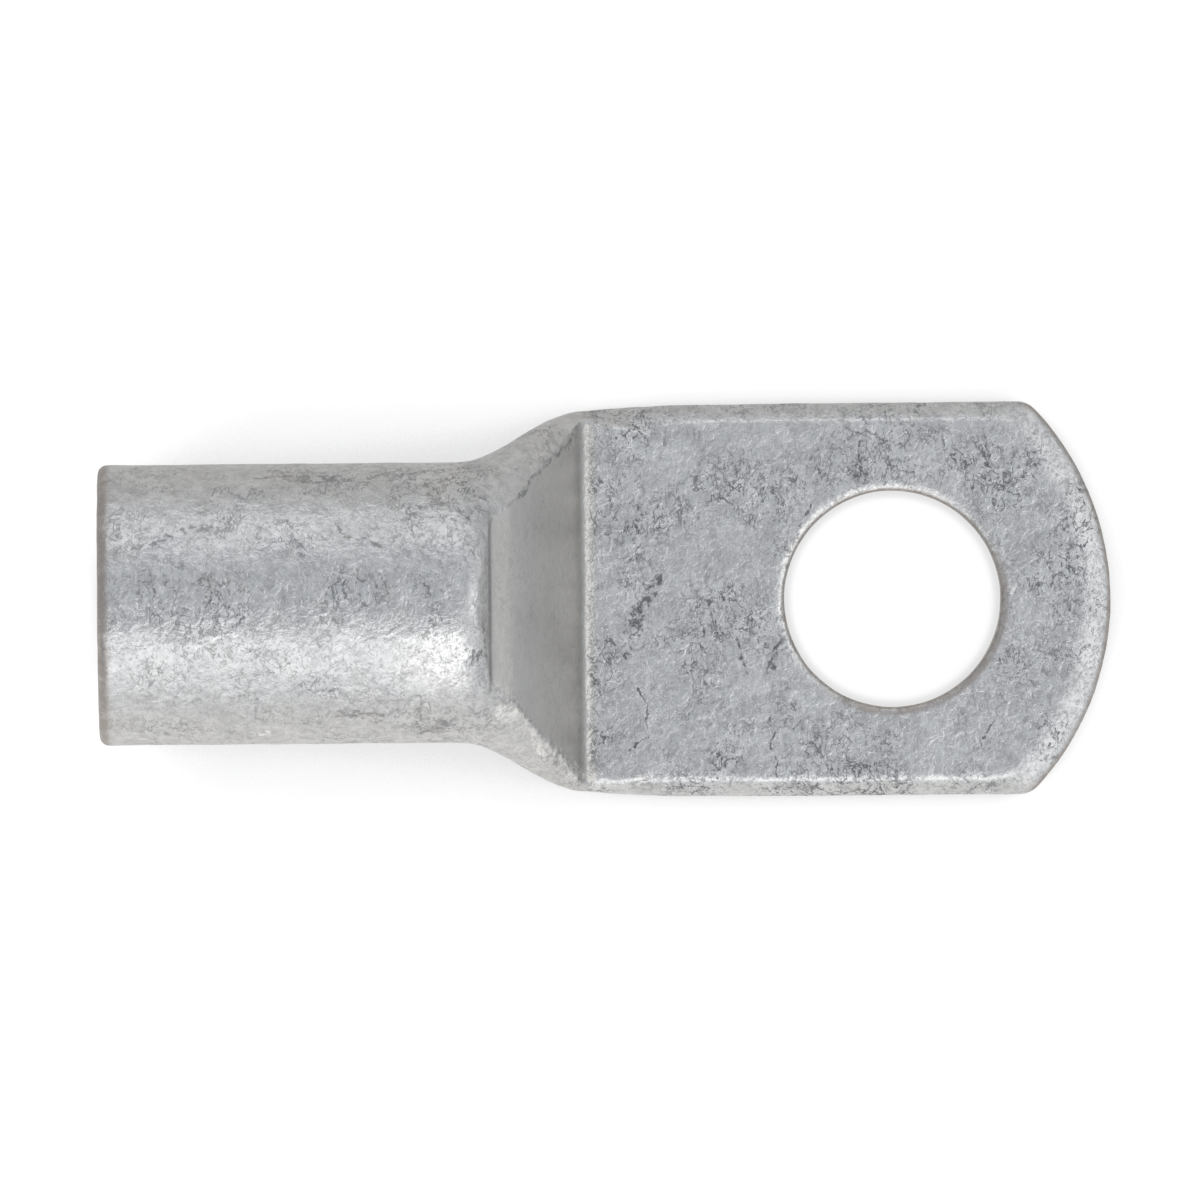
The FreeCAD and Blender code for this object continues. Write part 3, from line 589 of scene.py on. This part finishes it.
def buildTinMaterial(squiggles, specks, stroke, grain):
    material = bpy.data.materials.new("tinPlate")
    material.use_nodes = True
    tree = material.node_tree
    tree.nodes.clear()
    point = scaleVector(tree, addNode(tree, "ShaderNodeTexCoord").outputs["Object"], 1 / mm)
    x, y, z = addNode(tree, "ShaderNodeSeparateXYZ", None, {0: point}).outputs[:3]
    worn, cut, pressed = (addNode(tree, "ShaderNodeAttribute", {"attribute_name": name}).outputs["Fac"]
                          for name in ("wornEdge", "cutFace", "pressedFace"))

    def moved(offset):
        return vectorCalc(tree, "ADD", point, offset) if offset else point

    def both(first, second):
        return calc(tree, "MULTIPLY", first, second)

    def either(first, second):
        return calc(tree, "MAXIMUM", first, second)

    def inverse(value):
        return calc(tree, "SUBTRACT", 1.0, value)

    def band(value, name):
        rise, full, fall, end = bands[name]
        return both(ramp(tree, value, rise, full), inverse(ramp(tree, value, fall, end)))

    def patchy(name):
        offset, noise, levels = patches[name]
        return ramp(tree, cloudNoise(tree, moved(offset), *noise), *levels)

    def scattered(group, name):
        offset, inputs = smallMarks[name]
        return useGroup(tree, group, {"Vector": moved(offset), **inputs})["Mask"]

    onPalm = ramp(tree, x, *palmFade)
    onTop = ramp(tree, z, *topFade)

    def byPlace(name):
        onBarrel, onThePalm = tin[name]
        return calc(tree, "MULTIPLY_ADD", onPalm, onThePalm - onBarrel, onBarrel)

    # the ramp was ironed smooth by the die, so it carries few marks
    marked = inverse(both(both(band(x, "ramp"), pressed), tin["rampBare"]))

    # tone: a blotchy grain over broad patches
    grainOut = useGroup(tree, grain, {"Vector": point, "Scale": tin["grainScale"]})
    blotches = calc(tree, "SUBTRACT", cloudNoise(tree, point, *tin["blotchNoise"]), 0.5)
    tone = calc(tree, "ADD", ramp(tree, grainOut["Tone"], *tin["grainLevels"]),
                both(blotches, tin["blotchWeight"]))
    tone = calc(tree, "ADD", 0.5, both(calc(tree, "SUBTRACT", tone, 0.5), marked))
    colour = blendColour(tree, tone, tin["colour"], tin["lightColour"])
    # painted shade: the ramp turns darker and warmer towards its foot, less where the grain is light
    paintedRampShade = both(band(x, "paintedRampShade"), ramp(tree, pressed, 0.0, 1.0, tin["paintedRampShadeBeside"], 1.0))
    paintedRampShade = both(paintedRampShade, ramp(tree, grainOut["Tone"], *tin["paintedRampShadeLevels"]))
    colour = blendColour(tree, paintedRampShade, colour, tin["paintedRampShadeColour"])
    # painted highlight: the ramp's upper facet is paler
    upperFacetHighlight = both(both(band(x, "upperFacetHighlight"), pressed), tin["facetHighlight"])
    colour = blendColour(tree, upperFacetHighlight, colour, tin["paleColour"])

    # where dark marks crowd: in patches, more on the palm, along the barrel's top and before the shoulder;
    # along the barrel's top the extra marks are also painted shade for its darker band
    barrelTopMarksAndShade = both(band(y, "barrelTopY"), inverse(onPalm))
    lowBand = both(band(y, "lowBandY"), band(x, "lowBand"))
    more = either(barrelTopMarksAndShade, either(band(x, "beforeShoulder"), lowBand))
    crowd = calc(tree, "ADD", patchy("crowding"), both(more, tin["crowdMore"]))
    crowd = both(both(crowd, marked), byPlace("crowdShare"))
    fine = scattered(specks, "fine")
    tiny = scattered(specks, "tiny")
    curls = scattered(squiggles, "curls")
    hairs = scattered(squiggles, "hairs")
    specked = both(either(both(fine, tin["fineDark"]), both(tiny, tin["tinyDark"])), byPlace("speckShare"))
    lined = either(both(curls, tin["curlsDark"]), both(hairs, tin["hairsDark"]))
    dark = both(either(specked, lined), crowd)
    brokenUp = patchy("brokenUp")

    # placed marks follow a wavering path; the dark one along the ramp's upper edge is painted shade, and the
    # wide pale ones on the lower diagonal are painted highlights
    waver = addNode(tree, "ShaderNodeTexNoise", None, {"Vector": point, **tin["waverNoise"]}).outputs[1]
    waverX, waverY = addNode(tree, "ShaderNodeSeparateColor", None, {0: waver}).outputs[:2]
    span = tin["waverReach"]
    bent = addNode(tree, "ShaderNodeCombineXYZ", None, {
        0: calc(tree, "ADD", x, calc(tree, "MULTIPLY_ADD", waverX, span, -span / 2)),
        1: calc(tree, "ADD", y, calc(tree, "MULTIPLY_ADD", waverY, span, -span / 2))}).outputs[0]
    ragged = calc(tree, "MULTIPLY_ADD", cloudNoise(tree, point, *tin["raggedNoise"]), *tin["raggedSpread"])
    placed = both(both(strokes(tree, stroke, bent, ragged, darkStrokes), onTop), patchy("gaps"))
    dark = either(dark, both(placed, byPlace("placedShare")))

    # grime in the corner before the ramp, and a painted shade line along its crease
    grime = both(both(band(x, "grime"), brokenUp), ramp(tree, y, *tin["grimeFade"]))
    # painted shade: a thin dark line along the crease
    fromCrease = calc(tree, "ABSOLUTE", calc(tree, "SUBTRACT", x, tin["creaseLineX"]))
    crease = both(inverse(ramp(tree, fromCrease, *tin["creaseHalfWidth"])),
                  inverse(ramp(tree, calc(tree, "ABSOLUTE", y), *tin["creaseHalfLength"])))
    corner = either(both(grime, tin["grimeDark"]), both(crease, tin["creaseDark"]))
    dark = either(dark, both(corner, onTop))
    brown = both(inverse(onPalm), patchy("browning"))
    colour = blendColour(tree, dark, colour, blendColour(tree, brown, tin["darkColour"], tin["brownColour"]))

    # pale marks: rubbed edges, short glints, the burnished rims of hole and tip with a painted highlight on
    # the hole's upper left, scrapes with painted highlights on the lower diagonal, and a painted highlight
    # on the barrel's end
    flecked = patchy("flecks")
    seenFlat = vectorCalc(tree, "MULTIPLY", point, (1.0, 1.0, 0.0))
    reach = vectorCalc(tree, "LENGTH", seenFlat)
    bearing = vectorCalc(tree, "DOT_PRODUCT", seenFlat, (*tin["bearing"], 0.0))
    bearing = calc(tree, "DIVIDE", bearing, reach)
    # the hole's rim is pale all round as wear, and paler on its upper left as a painted highlight
    holeRimWearAndHighlight = inverse(ramp(tree, reach, *tin["holeRimReach"]))
    holeRimWearAndHighlight = both(holeRimWearAndHighlight, ramp(tree, bearing, *tin["holeRimLevels"]))
    tipCentre = (terminal["tipX"] - terminal["tipRadius"], 0.0, 0.0)
    tipReach = vectorCalc(tree, "LENGTH", vectorCalc(tree, "SUBTRACT", seenFlat, tipCentre))
    tipBorder = [terminal["tipRadius"] + inward for inward in tin["tipRimReach"]]
    tipRim = both(ramp(tree, tipReach, *tipBorder), ramp(tree, x, *tin["tipRimX"]))
    rims = both(both(either(holeRimWearAndHighlight, both(tipRim, tin["tipRimShare"])), flecked), onTop)
    glints = both(scattered(squiggles, "glints"), marked)
    # pale strokes: scrapes, and painted highlights on the lower diagonal
    scrapesAndHighlights = both(both(strokes(tree, stroke, bent, ragged, paleStrokes), onTop), brokenUp)
    # painted highlight on the barrel's end, where its highlight is brightest; it is smoother there too
    barrelEndHighlight = both(both(band(x, "barrelEndHighlight"), band(y, "barrelEndHighlightY")), onTop)
    pale = either(both(both(worn, brokenUp), tin["wornPale"]), both(glints, tin["glintsPale"]))
    pale = either(pale, either(both(rims, tin["rimsPale"]), both(scrapesAndHighlights, tin["scrapesAndHighlightsPale"])))
    pale = either(pale, both(barrelEndHighlight, calc(tree, "MULTIPLY_ADD", flecked, *tin["barrelEndHighlightPale"])))
    colour = blendColour(tree, pale, colour, tin["paleColour"])

    # copper grins through where the metal was cut
    farRing = both(inverse(ramp(tree, reach, *tin["farRingReach"])), onTop)
    farRing = both(both(farRing, ramp(tree, bearing, *tin["farRingLevels"])), tin["farRingShare"])
    copper = both(either(cut, farRing), patchy("tarnish"))
    colour = blendColour(tree, copper, colour, tin["cutColour"])

    roughness = calc(tree, "ADD", tin["roughness"], both(dark, tin["darkRougher"]))
    roughness = calc(tree, "ADD", roughness, both(copper, tin["copperRougher"]))
    roughness = calc(tree, "SUBTRACT", roughness, both(barrelEndHighlight, tin["barrelEndSmoother"]))
    roughness = calc(tree, "ADD", roughness, both(either(tipRim, grime), tin["rimRougher"]))

    # height: the grain with its pits, on softer lumps
    lumps = both(cloudNoise(tree, point, *tin["lumpNoise"]), byPlace("lumpShare"))
    height = calc(tree, "SUBTRACT", grainOut["Height"], both(fine, tin["pitDepth"]))
    height = both(calc(tree, "ADD", lumps, height), marked)
    bump = addNode(tree, "ShaderNodeBump", None, {
        "Strength": tin["bumpStrength"], "Distance": tin["bumpDepth"], "Height": height})
    shader = addNode(tree, "ShaderNodeBsdfPrincipled", None, {
        "Base Color": colour, "Metallic": 1.0, "Roughness": roughness, "Normal": bump.outputs[0]})
    addNode(tree, "ShaderNodeOutputMaterial", None, {"Surface": shader.outputs[0]})
    return material


print("shaping the terminal")
terminalSkin = buildTerminal()
markEdges(terminalSkin)
terminalSkin.data.materials.append(
    buildTinMaterial(buildSquiggles(), buildSpecks(), buildStroke(), buildGrain()))
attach(terminalSkin, "root")
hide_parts("terminal_body")
print("terminal done:", len(terminalSkin.data.polygons), "faces")


# floor, light and camera

stage = {
    "floorSize": 6.0,
    "floorDrop": 0.02 * mm,
    "floorColour": (0.86, 0.86, 0.855, 1),
    "whiteShare": 0.88,          # how much of the floor's white stays where a shadow falls
    "whiteLevel": 1.1,
    "contactReach": 8 * mm,      # the soft shadow where the part all but touches the floor
    "contactSamples": 8,
    "contactLevel": 0.72,        # of the white, where the shadow is full
    "openLevels": (0.5, 0.62),   # openness where that shadow is full, and where it ends
    "holeBorder": 0.45,          # in mm; further in, the stud hole shows the floor as in the open
    "holeLevels": (0.52, 0.6),
    "nearLevel": 0.98,           # what the metal mirrors of the floor, on the key lamp's side
    "farLevel": 0.66,
    "mirrorEdge": 12 * mm,       # that change runs from one side of the part to the other
    "mirrorColour": (1.0, 0.99, 0.975, 1),
    "worldColour": (0.545, 0.57, 0.615, 1),
    "worldStrength": 1.0,
    "lampDistance": 2.0,
}
lamps = [
    # name, turn about Z, tilt from straight up, width, height, brightness, colour
    ("keyLamp", -90, 40, 2.4, 1.3, 0.9, (1.0, 0.99, 0.965)),
    ("lowLamp", -90, 70, 2.4, 0.9, 0.58, (1.0, 0.975, 0.935)),
    ("sideLamp", 0, 38, 1.8, 1.5, 0.85, (1.0, 0.99, 0.965)),
    ("backLamp", 90, 62, 2.2, 1.3, 0.57, (1.0, 0.985, 0.955)),
]
view = {
    "lens": 1000.0,
    "sensorWidth": 36.0,
    "clipping": (0.05, 50),
    "pictureWidth": 1200,        # pixels
    "pixelsPerMm": 25.64,
    "centre": (-11.41, 0.05),    # what stands in the middle of the picture, in mm
    "turn": -0.487,
}


def buildFloor():
    bpy.ops.object.select_all(action="DESELECT")
    bpy.ops.mesh.primitive_plane_add(size=stage["floorSize"], location=(0, 0, -stage["floorDrop"]))
    floor = bpy.context.object
    floor.name = "paleFloor"
    material = bpy.data.materials.new("paleFloor")
    material.use_nodes = True
    tree = material.node_tree
    tree.nodes.clear()
    rays = addNode(tree, "ShaderNodeLightPath").outputs
    glossy = rays["Is Glossy Ray"]
    seen = calc(tree, "MAXIMUM", calc(tree, "MAXIMUM", rays["Is Camera Ray"], glossy),
                rays["Is Transmission Ray"])
    where = addNode(tree, "ShaderNodeTexCoord").outputs["Object"]

    # white with a contact shadow for the camera, a soft change of tone for what the metal mirrors
    fromHole = calc(tree, "DIVIDE", vectorCalc(tree, "LENGTH", where), mm)
    inHole = ramp(tree, fromHole, terminal["holeRadius"], terminal["holeRadius"] - stage["holeBorder"],
                  *stage["holeLevels"])
    openness = addNode(tree, "ShaderNodeAmbientOcclusion", {"samples": stage["contactSamples"]},
                       {"Distance": stage["contactReach"]}).outputs["AO"]
    openness = calc(tree, "MAXIMUM", openness, inHole)
    plain = ramp(tree, openness, *stage["openLevels"], stage["contactLevel"], 1.0)
    plain = calc(tree, "MULTIPLY", plain, stage["whiteLevel"])
    across = addNode(tree, "ShaderNodeSeparateXYZ", None, {0: where}).outputs[1]
    mirrored = ramp(tree, across, -stage["mirrorEdge"], stage["mirrorEdge"],
                    stage["nearLevel"], stage["farLevel"])
    level = addNode(tree, "ShaderNodeMix", {"data_type": "FLOAT"}, {
        0: glossy, 2: plain, 3: mirrored}).outputs[0]
    white = addNode(tree, "ShaderNodeEmission", None, {
        "Color": blendColour(tree, glossy, (1, 1, 1, 1), stage["mirrorColour"]),
        "Strength": level}).outputs[0]
    lit = addNode(tree, "ShaderNodeBsdfDiffuse", None, {"Color": stage["floorColour"]}).outputs[0]
    mixed = addNode(tree, "ShaderNodeMixShader", None, {
        0: calc(tree, "MULTIPLY", seen, stage["whiteShare"]), 1: lit, 2: white}).outputs[0]
    addNode(tree, "ShaderNodeOutputMaterial", None, {"Surface": mixed})
    floor.data.materials.append(material)


def buildLight():
    world = bpy.data.worlds.new("studio")
    bpy.context.scene.world = world
    world.use_nodes = True
    background = world.node_tree.nodes["Background"]
    background.inputs["Color"].default_value = stage["worldColour"]
    background.inputs["Strength"].default_value = stage["worldStrength"]
    for name, turn, tilt, width, height, brightness, colour in lamps:
        data = bpy.data.lights.new(name, "AREA")
        data.shape = "RECTANGLE"
        data.size, data.size_y = width, height
        data.energy = brightness * math.pi * width * height
        data.color = colour
        lamp = bpy.data.objects.new(name, data)
        bpy.context.scene.collection.objects.link(lamp)
        t, a = math.radians(tilt), math.radians(turn)
        towards = Vector((math.sin(t) * math.cos(a), math.sin(t) * math.sin(a), math.cos(t)))
        lamp.location = towards * stage["lampDistance"]
        lamp.rotation_euler = towards.to_track_quat("Z", "Y").to_euler()
        lamp.visible_camera = False


def buildCamera():
    data = bpy.data.cameras.new("photoCamera")
    data.lens = view["lens"]
    data.sensor_width = view["sensorWidth"]
    data.clip_start, data.clip_end = view["clipping"]
    frameWidth = view["pictureWidth"] / view["pixelsPerMm"] * mm
    distance = frameWidth * data.lens / data.sensor_width
    camera = bpy.data.objects.new("photoCamera", data)
    bpy.context.scene.collection.objects.link(camera)
    camera.location = (view["centre"][0] * mm, view["centre"][1] * mm, distance + terminal["palmTopZ"] * mm)
    camera.rotation_euler = (0, 0, math.radians(view["turn"]))
    bpy.context.scene.camera = camera


buildFloor()
buildLight()
buildCamera()
bpy.context.scene.view_settings.view_transform = "Standard"
print("stage, lamps and camera done")
